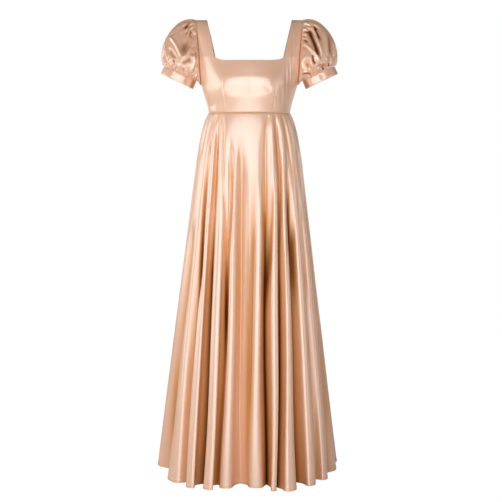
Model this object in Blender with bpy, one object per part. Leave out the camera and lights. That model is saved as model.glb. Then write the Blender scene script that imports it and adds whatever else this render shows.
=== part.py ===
"""Regency gown in satin, filled out as worn, with nobody in it.

Every piece of cloth is a thin closed wall through sections worked out from the sizes below. The front of the
gown faces -Y, the wearer's left is +X and the gown hangs down from the tops of its shoulder straps, at z = 0.
Lengths are in metres and angles in degrees. An angle round the gown is 0 at the centre front and grows to +X.
"""

import math
from collections import namedtuple

import bpy
from mathutils import Vector

# Cloth
WALL = 0.0015
SEAM_GAP = 0.0003
PROBE = 0.001
SATIN = (0.79, 0.53, 0.39, 1.0)
SATIN_ROUGHNESS = 0.38

# Heights
EMPIRE_SEAM = -0.287
UNDERARM = -0.201
NECK_CORNER = -0.116
NECK_FRONT = -0.127
HEM = -1.418

# Bodice
SHOULDER_FORWARD = -0.005
STRAP_IN_TOP = 0.132
STRAP_OUT_TOP = 0.165
STRAP_IN_LOW = 0.107
STRAP_OUT_LOW = 0.1555
STRAP_LEAN_FRONT = 0.38
STRAP_LEAN_BACK = 0.16
STRAP_RISE = 0.055
STRAP_TURN = 0.050
ARMHOLE_DEPTH = 0.045
DART_AT_SEAM = 0.070
BUST_FULLNESS = 0.007
BUST_SIDE = 0.078
BUST_HEIGHT = -0.210
BUST_WIDE = 0.046
BUST_TALL = 0.048
CORNER_SHARPNESS = 8

# Each ring's half widths and depths in front and behind. From the underarm up, the armholes cut off its sides.
Section = namedtuple("Section", "height front_side back_side front back")
BODICE_SECTIONS = (
    Section(EMPIRE_SEAM, 0.1277, 0.1277, 0.105, 0.100),
    Section(-0.262, 0.1325, 0.1325, 0.112, 0.100),
    Section(-0.232, 0.1415, 0.1415, 0.120, 0.102),
    Section(UNDERARM, 0.1505, 0.1505, 0.123, 0.104),
    Section(-0.160, 0.1626, 0.1640, 0.116, 0.103),
    Section(NECK_CORNER, 0.1741, 0.1755, 0.100, 0.097),
)
ROWS_BELOW_ARM = 4
ROWS_AT_CHEST = 4
ROWS_OF_STRAP = 5
COLUMNS_TO_DART = 6
COLUMNS_OF_STRAP = 4

# Skirt: the outer edge of the folds starts at the seam, springs out and then runs straight to the hem
SIDE_START = 0.1477
SIDE_FLARE = 0.138
SIDE_SPRING = 0.020
FRONT_START = 0.113
FRONT_FLARE = 0.187
FRONT_SPRING = 0.008
BACK_START = 0.112
BACK_FLARE = 0.178
BACK_SPRING = 0.012
SPRING_LENGTH = 0.040
PLEAT_DEPTH = 0.0035
PLEAT_LENGTH = 0.09
FOLD_GROWTH = 1.15
POINTS_PER_FOLD = 8
SKIRT_ROWS = (0.0, 0.025, 0.07, 0.15, 0.27, 0.41, 0.56, 0.71, 0.86, 1.0)

# Each fold is one crest and the valley that follows it towards +X. The angles are where the crest and the
# valley leave the seam and meet the hem, and bow is how far they swing aside half way down. Reach is the
# distance from the gown's middle at the hem. Tuck is how far the cloth tucks in under the crest before and
# after the valley. Start is the share of the length where the fold begins.
Fold = namedtuple(
    "Fold", "crest_top crest_hem crest_reach valley_top valley_hem valley_reach bow tuck_before tuck_after start"
)
SKIRT_FRONT_FOLDS = (
    Fold(-84, -97.5, 0.298, -70, -78.0, 0.238, 4, 1.5, 2.0, 0.10),
    Fold(-60, -52.0, 0.304, -51, -45.5, 0.262, -4, 1.0, 1.5, 0.02),
    Fold(-47, -37.0, 0.317, -42, -34.0, 0.262, 1, 3.6, 2.0, 0.04),
    Fold(-33, -25.0, 0.308, -22, -23.0, 0.234, 2, 3.6, 2.0, 0.08),
    Fold(-15, -15.8, 0.276, -8, -8.5, 0.211, 0, 2.6, 3.0, 0.10),
    Fold(8, 3.6, 0.262, 23, 9.4, 0.238, -3, 0.5, 2.4, 0.02),
    Fold(30, 13.8, 0.306, 38, 18.8, 0.268, -1, 1.2, 1.2, 0.00),
    Fold(44, 23.2, 0.322, 50, 37.6, 0.229, -5, 1.0, 1.2, 0.06),
    Fold(55, 42.4, 0.303, 60, 53.0, 0.261, 2, 0.8, 1.0, 0.00),
    Fold(67, 56.5, 0.288, 75, 70.0, 0.250, 3, 1.0, 1.0, 0.12),
    Fold(83, 83.5, 0.279, 91, 95.0, 0.236, 1, 1.5, 1.5, 0.15),
)
SKIRT_BACK_LEFT_FOLDS = (
    Fold(99, 104.0, 0.294, 106, 111.5, 0.238, 1, 1.6, 1.4, 0.06),
    Fold(114, 119.0, 0.302, 121, 127.0, 0.260, -1, 1.2, 1.6, 0.02),
    Fold(129, 135.0, 0.312, 136, 143.0, 0.229, 2, 1.8, 1.2, 0.08),
    Fold(143, 151.0, 0.296, 150, 158.0, 0.248, -1, 1.4, 1.8, 0.00),
    Fold(157, 167.5, 0.300, 180, 180.0, 0.226, 0, 1.6, 1.6, 0.04),
)
SKIRT_BACK_RIGHT_FOLDS = (
    Fold(203, 192.0, 0.304, 210, 200.5, 0.250, 1, 1.4, 1.8, 0.00),
    Fold(217, 208.5, 0.290, 224, 216.0, 0.228, -2, 1.8, 1.2, 0.07),
    Fold(231, 225.0, 0.311, 238, 232.5, 0.256, 1, 1.2, 1.6, 0.03),
    Fold(246, 241.5, 0.297, 262, 250.5, 0.240, 0, 1.6, 1.4, 0.10),
)
SKIRT_FOLDS = SKIRT_FRONT_FOLDS + SKIRT_BACK_LEFT_FOLDS + SKIRT_BACK_RIGHT_FOLDS

# Puff sleeves: the wearer's left one, and the right one is its mirror image
CUFF_TOP_OUT = (0.2655, -0.143)
CUFF_TOP_IN = (0.1650, -0.190)
CUFF_HALF_DEPTH = 0.044
CUFF_DEPTH = 0.026
CUFF_FLARE = 0.001
SLEEVE_GAP = 0.0006
SLEEVE_GATHERS = 16
POINTS_PER_GATHER = 4
SLEEVE_ROWS = (0.0, 0.08, 0.18, 0.36, 0.56, 0.76, 0.90, 1.0)
CUFF_ROWS = (0.0, 0.5, 1.0)
CUFF_GATHER_DEPTH = 0.0016
CUFF_GATHER_FADE = 8
UNDERSIDE_GATHER = 0.15
CAP_GATHER_DEPTH = 0.0026
CAP_GATHER_LENGTH = 0.36

# How far the sleeve's cloth swings out past the armhole, and past the cuff, at its top, sides and underside
Swing = namedtuple("Swing", "out forward up")
CAP_TOP = Swing(0.075, 0.0, 0.015)
CAP_SIDE = Swing(0.022, 0.036, 0.010)
CAP_UNDER = Swing(0.006, 0.0, -0.004)
PUFF_TOP = Swing(0.030, 0.0, 0.052)
PUFF_SIDE = Swing(0.010, 0.036, 0.040)
PUFF_UNDER = Swing(-0.008, 0.0, 0.001)


def blend(low, high, share):
    """The value a share of the way from low to high."""
    return low + (high - low) * share


def smooth(share):
    """A share from 0 to 1 eased at both ends."""
    return share * share * (3 - 2 * share)


def curve(start, leave, arrive, end, share):
    """A point of the smooth curve with these four corners."""
    rest = 1 - share
    weights = (rest**3, 3 * rest * rest * share, 3 * rest * share * share, share**3)
    corners = zip(start, leave, arrive, end)
    return [sum(weight * value for weight, value in zip(weights, values)) for values in corners]


def section_at(height):
    """The bodice's ring at a height, on a smooth curve through the sections."""
    rows = BODICE_SECTIONS
    index = 0
    while index < len(rows) - 2 and height > rows[index + 1].height:
        index += 1
    low, high = rows[index], rows[index + 1]
    before, after = rows[max(index - 1, 0)], rows[min(index + 2, len(rows) - 1)]
    span = high.height - low.height
    share = min(1.0, (height - low.height) / span)
    values = []
    for i in range(1, len(low)):
        leave = (high[i] - before[i]) / (high.height - before.height) * span
        arrive = (after[i] - low[i]) / (after.height - low.height) * span
        bend = share * (1 - share) * ((1 - share) * leave - share * arrive)
        values.append(blend(low[i], high[i], smooth(share)) + bend)
    return Section(height, *values)


def strap_inner_edge(height):
    """How far out the line of the dart, the neck's side and the strap's inner edge lies."""
    if height > NECK_CORNER:
        return blend(STRAP_IN_LOW, STRAP_IN_TOP, (height - NECK_CORNER) / -NECK_CORNER)
    return blend(DART_AT_SEAM, STRAP_IN_LOW, (height - EMPIRE_SEAM) / (NECK_CORNER - EMPIRE_SEAM))


def bodice_ring(column, height, edge_depth, facing):
    """How far out and how far forward a point of the bodice below the straps lies.

    Columns run from -2 at one side through 0 at the centre to 2 at the other, with -1 and 1 on the dart lines.
    The ring ends where its depth is edge_depth, which is 0 at the side seam and more at the armhole.
    """
    section = section_at(height)
    depth = section.front if facing > 0 else section.back
    half_width = section.front_side if facing > 0 else section.back_side
    last = math.acos(edge_depth / depth)
    dart = math.asin(strap_inner_edge(height) / half_width)
    across = abs(column)
    angle = across * dart if across <= 1 else blend(dart, last, across - 1)
    x = math.copysign(half_width * math.sin(angle), column)
    forward = depth * math.cos(angle)
    if facing > 0:
        rise = math.exp(-(((height - BUST_HEIGHT) / BUST_TALL) ** 2))
        forward += BUST_FULLNESS * rise * math.exp(-(((abs(x) - BUST_SIDE) / BUST_WIDE) ** 2))
    return x, forward


def bodice_point(column, level, facing):
    """A point of the bodice's outer face, at levels 0 seam, 1 underarm, 2 neck corner and 3 shoulder.

    Facing is 1 for the front and -1 for the back.
    """
    if level <= 1:
        height = blend(EMPIRE_SEAM + SEAM_GAP / 2, UNDERARM, level)
        x, forward = bodice_ring(column, height, 0.0, facing)
    elif level <= 2:
        turn = math.radians(90 * (level - 1))
        height = NECK_CORNER + (UNDERARM - NECK_CORNER) * math.cos(turn)
        if abs(column) < 1:
            height += (NECK_FRONT - NECK_CORNER) * (1 - abs(column) ** CORNER_SHARPNESS) * (level - 1)
        x, forward = bodice_ring(column, height, ARMHOLE_DEPTH * math.sin(turn), facing)
    else:
        low_x, low_forward = bodice_ring(column, NECK_CORNER, ARMHOLE_DEPTH, facing)
        shoulder = facing * SHOULDER_FORWARD
        lean = STRAP_LEAN_FRONT if facing > 0 else STRAP_LEAN_BACK
        climb = STRAP_RISE / math.hypot(1, lean)
        turn_back = STRAP_TURN * (low_forward - shoulder) / -NECK_CORNER
        forward, height = curve(
            (low_forward, NECK_CORNER),
            (low_forward - lean * climb, NECK_CORNER + climb),
            (shoulder + turn_back, 0.0),
            (shoulder, 0.0),
            level - 2,
        )
        part_way = (abs(low_x) - STRAP_IN_LOW) / (STRAP_OUT_LOW - STRAP_IN_LOW)
        risen = 1 - height / NECK_CORNER
        inner = blend(STRAP_IN_LOW, STRAP_IN_TOP, risen)
        outer = blend(STRAP_OUT_LOW, STRAP_OUT_TOP, risen)
        x = math.copysign(blend(inner, outer, part_way), column)
    return x, -facing * forward, height


def bodice_front(column, level):
    """A point of the bodice front, half a seam gap in front of the side and shoulder seams."""
    x, y, z = bodice_point(column, level, 1)
    return x, y - SEAM_GAP / 2, z


def bodice_back(side):
    """The surface of the bodice back on the side +1 or -1, half a seam gap clear of each seam."""

    def point(column, level):
        x, y, z = bodice_point(side * column, level, -1)
        return x + side * SEAM_GAP / 2, y + SEAM_GAP / 2, z

    return point


def skirt_edge(angle, share):
    """The skirt's outer edge, before its folds, at a share of the way from seam to hem."""
    spring = math.exp(-share / SPRING_LENGTH)
    side = SIDE_START + SIDE_FLARE * share - SIDE_SPRING * spring
    if math.cos(angle) > 0:
        depth = FRONT_START + FRONT_FLARE * share - FRONT_SPRING * spring
    else:
        depth = BACK_START + BACK_FLARE * share - BACK_SPRING * spring
    return side * math.sin(angle), depth * math.cos(angle)


def skirt_point(place, share):
    """A point of the skirt's outer face, where place counts folds from crest to crest and share runs down."""
    index = math.floor(place)
    here = SKIRT_FOLDS[index % len(SKIRT_FOLDS)]
    after = SKIRT_FOLDS[(index + 1) % len(SKIRT_FOLDS)]
    turns = 360 * (index // len(SKIRT_FOLDS))
    next_turns = 360 * ((index + 1) // len(SKIRT_FOLDS))
    phase = 2 * math.pi * (place - index)
    aside = 4 * share * (1 - share)
    crest = blend(here.crest_top, here.crest_hem, share) + here.bow * aside + turns
    valley = blend(here.valley_top, here.valley_hem, share) + here.bow * aside + turns
    following = blend(after.crest_top, after.crest_hem, share) + after.bow * aside + next_turns
    grown = max(0.0, (share - here.start) / (1 - here.start)) ** FOLD_GROWTH
    if phase < math.pi:
        degrees = blend(crest, valley, phase / math.pi) + here.tuck_before * grown * math.sin(2 * phase)
    else:
        degrees = blend(valley, following, phase / math.pi - 1) + here.tuck_after * grown * math.sin(2 * phase)
    angle = math.radians(degrees)
    x, forward = skirt_edge(angle, share)
    crest_reach = blend(here.crest_reach, after.crest_reach, smooth(phase / (2 * math.pi)))
    swell = 1 + (crest_reach / math.hypot(*skirt_edge(angle, 1.0)) - 1) * share
    middle_reach = (here.crest_reach + after.crest_reach) / 2
    pleat = PLEAT_DEPTH * math.sin(math.pi * min(1.0, share / PLEAT_LENGTH))
    depth = (middle_reach - here.valley_reach) * grown + pleat
    scale = swell - depth * (1 - math.cos(phase)) / 2 / math.hypot(x, forward)
    return x * scale, -forward * scale, blend(EMPIRE_SEAM - SEAM_GAP / 2, HEM, share)


def skirt_panel(aside, back):
    """The surface of a skirt panel, half a seam gap clear of its neighbours to the side and to the back."""

    def point(place, share):
        x, y, z = skirt_point(place, share)
        return x + aside * SEAM_GAP / 2, y + back * SEAM_GAP / 2, z

    return point


def armhole_point(turn):
    """A point of the left armhole: turn is 0 at the shoulder, 90 in front, 180 under the arm and 270 behind."""
    in_front = turn <= 180
    down = turn if in_front else 360 - turn
    return bodice_point(2.0, 3 - down / 90, 1 if in_front else -1)


def cuff_point(turn, drop):
    """A point of the left cuff's outer face, at a distance down from the cuff's upper edge."""
    middle_x = (CUFF_TOP_OUT[0] + CUFF_TOP_IN[0]) / 2
    middle_z = (CUFF_TOP_OUT[1] + CUFF_TOP_IN[1]) / 2
    half = math.dist(CUFF_TOP_OUT, CUFF_TOP_IN) / 2
    out_x = (CUFF_TOP_OUT[0] - middle_x) / half
    out_z = (CUFF_TOP_OUT[1] - middle_z) / half
    angle = math.radians(turn)
    flare = CUFF_FLARE * drop / CUFF_DEPTH
    wide = (half + flare) * math.cos(angle)
    deep = (CUFF_HALF_DEPTH + flare) * math.sin(angle)
    return middle_x + out_x * wide + out_z * drop, -deep, middle_z + out_z * wide - out_x * drop


def swing_at(turn, top, side, under):
    """The swing of the cloth at a turn round the sleeve, mixed from its top, sides and underside."""
    angle = math.radians(turn)
    over = max(math.cos(angle), 0.0) ** 2
    below = max(-math.cos(angle), 0.0) ** 2
    beside = math.sin(angle) ** 2
    out, forward, up = (over * top[i] + beside * side[i] + below * under[i] for i in range(3))
    return out, -forward * math.copysign(1, math.sin(angle)), up


def sleeve_point(turn, share):
    """A point of the left sleeve's outer face, from the armhole at share 0 to the cuff at share 1."""
    start = armhole_point(turn % 360)
    start = (start[0] + SLEEVE_GAP, start[1], start[2])
    end = cuff_point(turn, -SEAM_GAP)
    leave = swing_at(turn, CAP_TOP, CAP_SIDE, CAP_UNDER)
    arrive = swing_at(turn, PUFF_TOP, PUFF_SIDE, PUFF_UNDER)
    after_start = [start[i] + leave[i] for i in range(3)]
    before_end = [end[i] + arrive[i] for i in range(3)]
    x, y, z = curve(start, after_start, before_end, end, share)
    angle = math.radians(turn)
    wave = math.cos(SLEEVE_GATHERS * angle)
    cap = CAP_GATHER_DEPTH * wave * max(math.cos(angle), 0.0)
    cap *= math.sin(math.pi * min(1.0, share / CAP_GATHER_LENGTH))
    outside = blend(UNDERSIDE_GATHER, 1.0, (1 + math.cos(angle)) / 2)
    cuff = CUFF_GATHER_DEPTH * wave * outside * share**CUFF_GATHER_FADE
    x += cuff * math.cos(angle)
    y -= (cap + cuff) * math.sin(angle)
    z += cap * math.cos(angle)
    return x, y, z


def cuff_band(turn, share):
    """A point of the left cuff's outer face, at a share of its depth."""
    return cuff_point(turn, share * CUFF_DEPTH)


def mirrored(surface):
    """The same surface for the wearer's right side, with its outer side still outside."""

    def point(turn, share):
        x, y, z = surface(-turn, share)
        return -x, y, z

    return point


def outer_normal(surface, one, two, limits):
    """The unit normal of a surface at a place, from its two running directions."""
    low = max(limits[0], two - PROBE)
    high = min(limits[1], two + PROBE)
    first = [end - start for start, end in zip(surface(one - PROBE, two), surface(one + PROBE, two))]
    second = [end - start for start, end in zip(surface(one, low), surface(one, high))]
    return Vector(first).cross(Vector(second)).normalized()


def satin(name):
    """The satin of one piece."""
    material = bpy.data.materials.new(name + "_satin")
    material.use_nodes = True
    shader = material.node_tree.nodes["Principled BSDF"]
    shader.inputs["Base Color"].default_value = SATIN
    shader.inputs["Roughness"].default_value = SATIN_ROUGHNESS
    shader.inputs["Metallic"].default_value = 0.0
    return material


def cloth(name, surface, patches, limits_at, outward=1, loop=None):
    """Makes one piece of cloth: a closed wall through a surface's points, moved in by the wall's thickness.

    Each patch is a list of places along the first direction and a list along the second. Patches that share
    places are joined there. Limits_at gives how far the second direction runs at a place. Outward is -1 where
    the two directions turn the other way round, and loop is the length of a first direction that closes.
    """
    places = {}
    quads = []
    for ones, twos in patches:
        for one, next_one in zip(ones, ones[1:]):
            for two, next_two in zip(twos, twos[1:]):
                corners = [(one, two), (next_one, two), (next_one, next_two), (one, next_two)]
                if loop:
                    corners = [(a % loop, b) for a, b in corners]
                quads.append([places.setdefault(corner, len(places)) for corner in corners[::outward]])
    count = len(places)
    outer = [Vector(surface(*place)) for place in places]
    inner = [
        point - outward * WALL * outer_normal(surface, *place, limits_at(place[0]))
        for point, place in zip(outer, places)
    ]
    faces = []
    for a, b, c, d in quads:
        faces += [(a, b, c), (a, c, d)]
    faces += [(c + count, b + count, a + count) for a, b, c in faces]
    edges = {(quad[i], quad[(i + 1) % 4]) for quad in quads for i in range(4)}
    for a, b in sorted(edges):
        if (b, a) not in edges:
            faces += [(b, a, a + count), (b, a + count, b + count)]
    mesh = bpy.data.meshes.new(name)
    mesh.from_pydata(outer + inner, [], faces)
    mesh.shade_smooth()
    mesh.set_sharp_from_angle(angle=math.radians(60))
    mesh.materials.append(satin(name))
    piece = bpy.data.objects.new(name, mesh)
    bpy.context.collection.objects.link(piece)
    return piece


def steps(low, high, count):
    """Evenly spaced values from low to high."""
    return [blend(low, high, i / count) for i in range(count + 1)]


def make_bodice():
    """The bodice front, and the two bodice backs that meet at the centre back."""
    below = steps(0, 1, ROWS_BELOW_ARM)
    chest = steps(1, 2, ROWS_AT_CHEST)
    strap = steps(2, 3, ROWS_OF_STRAP)
    centre = steps(-1, 1, 2 * COLUMNS_TO_DART)
    left = steps(1, 2, COLUMNS_OF_STRAP)
    right = steps(-2, -1, COLUMNS_OF_STRAP)
    body = below + chest[1:]

    def limits(column):
        return (0, 3) if abs(column) >= 1 else (0, 2)

    patches = [(right + centre[1:] + left[1:], body), (right, strap), (left, strap)]
    cloth("bodice_front", bodice_front, patches, limits)
    half = steps(0, 1, COLUMNS_TO_DART)
    patches = [(half + left[1:], body), (left, strap)]
    cloth("bodice_back_left", bodice_back(1), patches, limits, outward=-1)
    cloth("bodice_back_right", bodice_back(-1), patches, limits)


def make_skirt():
    """The skirt front, and the two skirt backs that meet at the centre back."""
    front = len(SKIRT_FRONT_FOLDS)
    left = front + len(SKIRT_BACK_LEFT_FOLDS)
    whole = len(SKIRT_FOLDS)
    for name, first, last, aside, back in (
        ("skirt_front", 0, front, 0, -1),
        ("skirt_back_left", front, left, 1, 1),
        ("skirt_back_right", left, whole, -1, 1),
    ):
        places = steps(first - 0.5, last - 0.5, (last - first) * POINTS_PER_FOLD)
        panel = skirt_panel(aside, back)
        cloth(name, panel, [(places, SKIRT_ROWS)], lambda place: (0, 1), outward=-1)


def make_sleeves():
    """The two puff sleeves and their cuffs."""
    turns = steps(0, 360, SLEEVE_GATHERS * POINTS_PER_GATHER)
    for side, turned in (("left", lambda surface: surface), ("right", mirrored)):
        cloth("sleeve_" + side, turned(sleeve_point), [(turns, SLEEVE_ROWS)], lambda turn: (0, 1), loop=360)
        cloth("cuff_" + side, turned(cuff_band), [(turns, CUFF_ROWS)], lambda turn: (0, 1), loop=360)


def clear_scene():
    """Empties the scene."""
    for thing in list(bpy.data.objects):
        bpy.data.objects.remove(thing, do_unlink=True)


clear_scene()
make_bodice()
make_skirt()
make_sleeves()
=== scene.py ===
"""Dresses the regency gown.

Each piece of cloth is a thin shell on the form of its solid, with its folds, gathers and creases, in champagne
satin. Round it stand a plain studio, a pale floor and the camera. Lengths are in metres and angles in degrees. The
gown faces -Y, the wearer's left is +X and z = 0 is at the tops of the shoulder straps.
"""

import logging
import math
from dataclasses import dataclass, field
from enum import Enum
from typing import NamedTuple

import bpy
import numpy as np
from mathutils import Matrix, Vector


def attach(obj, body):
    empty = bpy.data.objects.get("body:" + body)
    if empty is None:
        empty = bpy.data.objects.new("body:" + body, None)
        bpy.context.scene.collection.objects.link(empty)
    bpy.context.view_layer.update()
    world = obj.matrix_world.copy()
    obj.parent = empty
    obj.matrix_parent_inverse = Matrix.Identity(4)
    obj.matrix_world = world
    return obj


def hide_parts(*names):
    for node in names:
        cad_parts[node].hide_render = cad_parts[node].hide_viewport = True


Number = float | np.ndarray

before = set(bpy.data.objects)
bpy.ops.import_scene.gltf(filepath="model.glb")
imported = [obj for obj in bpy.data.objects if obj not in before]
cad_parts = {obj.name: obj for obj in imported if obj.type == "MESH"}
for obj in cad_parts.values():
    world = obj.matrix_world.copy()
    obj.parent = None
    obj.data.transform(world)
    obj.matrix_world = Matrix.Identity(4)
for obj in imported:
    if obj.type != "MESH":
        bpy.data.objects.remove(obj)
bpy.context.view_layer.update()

log = logging.getLogger("gown")


class Facing(Enum):
    """The front or the back of the gown."""

    FRONT = 1
    BACK = -1


class Side(Enum):
    """The wearer's left or right."""

    LEFT = 1
    RIGHT = -1


# Numbers along a line.


def blend(low: Number, high: Number, share: Number) -> Number:
    """The value a share of the way from low to high.

    Args:
        low: value or array at share 0.
        high: value or array at share 1.
        share: how far along.

    Returns:
        The mixed value or array.
    """
    return low + (high - low) * share


def smooth(share: Number) -> Number:
    """A share from 0 to 1 eased at both ends.

    Args:
        share: value or array from 0 to 1.

    Returns:
        The eased value or array.
    """
    return share * share * (3 - 2 * share)


def rise(value: Number, start: float, end: float) -> Number:
    """Eases from 0 at start to 1 at end.

    Args:
        value: where to look, a value or an array.
        start: where the rise starts.
        end: where it ends.

    Returns:
        0 before the rise, 1 past it.
    """
    return smooth(np.clip((value - start) / (end - start), 0.0, 1.0))


def stations(*runs: tuple[float, float, int]) -> np.ndarray:
    """Places along a direction, closer together in some runs than in others.

    Args:
        runs: (low, high, count) of each run, where each starts where the last one ends.

    Returns:
        The places, each once.
    """
    parts = [np.linspace(low, high, count, endpoint=False) for low, high, count in runs]
    return np.append(np.concatenate(parts), runs[-1][1])


def bezier(start: Number, leave: Number, arrive: Number, end: Number, share: Number) -> Number:
    """A point of the smooth curve with these four corners.

    Args:
        start: first corner.
        leave: second corner.
        arrive: third corner.
        end: last corner.
        share: how far along, 0 to 1.

    Returns:
        The value or array there.
    """
    rest = 1 - share
    return rest**3 * start + 3 * rest**2 * share * leave + 3 * rest * share**2 * arrive + share**3 * end


# Creases.


CREASE_REACH = 3.2
CREASE_CORNERS = 25


class Crease(NamedTuple):
    """One crease as seen in front view, in millimetres: a bent line, its half width and how far it stands out.

    A negative height is a trough. Ends is the share of the line over which each end fades.
    """

    start: tuple[float, float]
    middle: tuple[float, float]
    end: tuple[float, float]
    width: float
    height: float
    ends: float = 0.3

    def lift(self, across: np.ndarray, up: np.ndarray) -> np.ndarray:
        """How far the cloth stands out at each place.

        Args:
            across: x of each place, in metres.
            up: z of each place, in metres.

        Returns:
            The height at each place, in metres.
        """
        start, middle, end = (np.array(p) / 1000 for p in (self.start, self.middle, self.end))
        control = 2 * middle - (start + end) / 2
        reach = CREASE_REACH * self.width / 1000
        corners = np.array([start, middle, end])
        low, high = corners.min(axis=0) - reach, corners.max(axis=0) + reach
        near = (across > low[0]) & (across < high[0]) & (up > low[1]) & (up < high[1])
        lifted = np.zeros_like(across)
        if not near.any():
            return lifted
        places = np.stack([across[near], up[near]], axis=-1)
        along = np.linspace(0, 1, CREASE_CORNERS)[:, None]
        line = (1 - along) ** 2 * start + 2 * along * (1 - along) * control + along**2 * end
        nearest = np.full(len(places), np.inf)
        where = np.zeros(len(places))
        for index, (one, two) in enumerate(zip(line, line[1:])):
            run = two - one
            part = np.clip(((places - one) @ run) / (run @ run), 0, 1)
            gap = np.linalg.norm(places - one - part[:, None] * run, axis=1)
            closer = gap < nearest
            nearest[closer] = gap[closer]
            where[closer] = (index + part[closer]) / (len(line) - 1)
        fade = rise(np.minimum(where, 1 - where), -0.02, self.ends)
        lifted[near] = self.height / 1000 * fade * np.exp(-((nearest * 1000 / self.width) ** 2))
        return lifted


def lifted(creases: tuple[Crease, ...], across: np.ndarray, up: np.ndarray) -> np.ndarray:
    """How far a group of creases lifts the cloth at each place.

    Args:
        creases: the creases.
        across: x of each place, in metres.
        up: z of each place, in metres.

    Returns:
        The height at each place, in metres.
    """
    return sum(crease.lift(across, up) for crease in creases)


def stand(name: str, data: bpy.types.ID) -> bpy.types.Object:
    """Puts a new object into the scene.

    Args:
        name: its name.
        data: its mesh, light or camera.

    Returns:
        The object.
    """
    made = bpy.data.objects.new(name, data)
    bpy.context.collection.objects.link(made)
    return made


# Shells of cloth.


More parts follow.
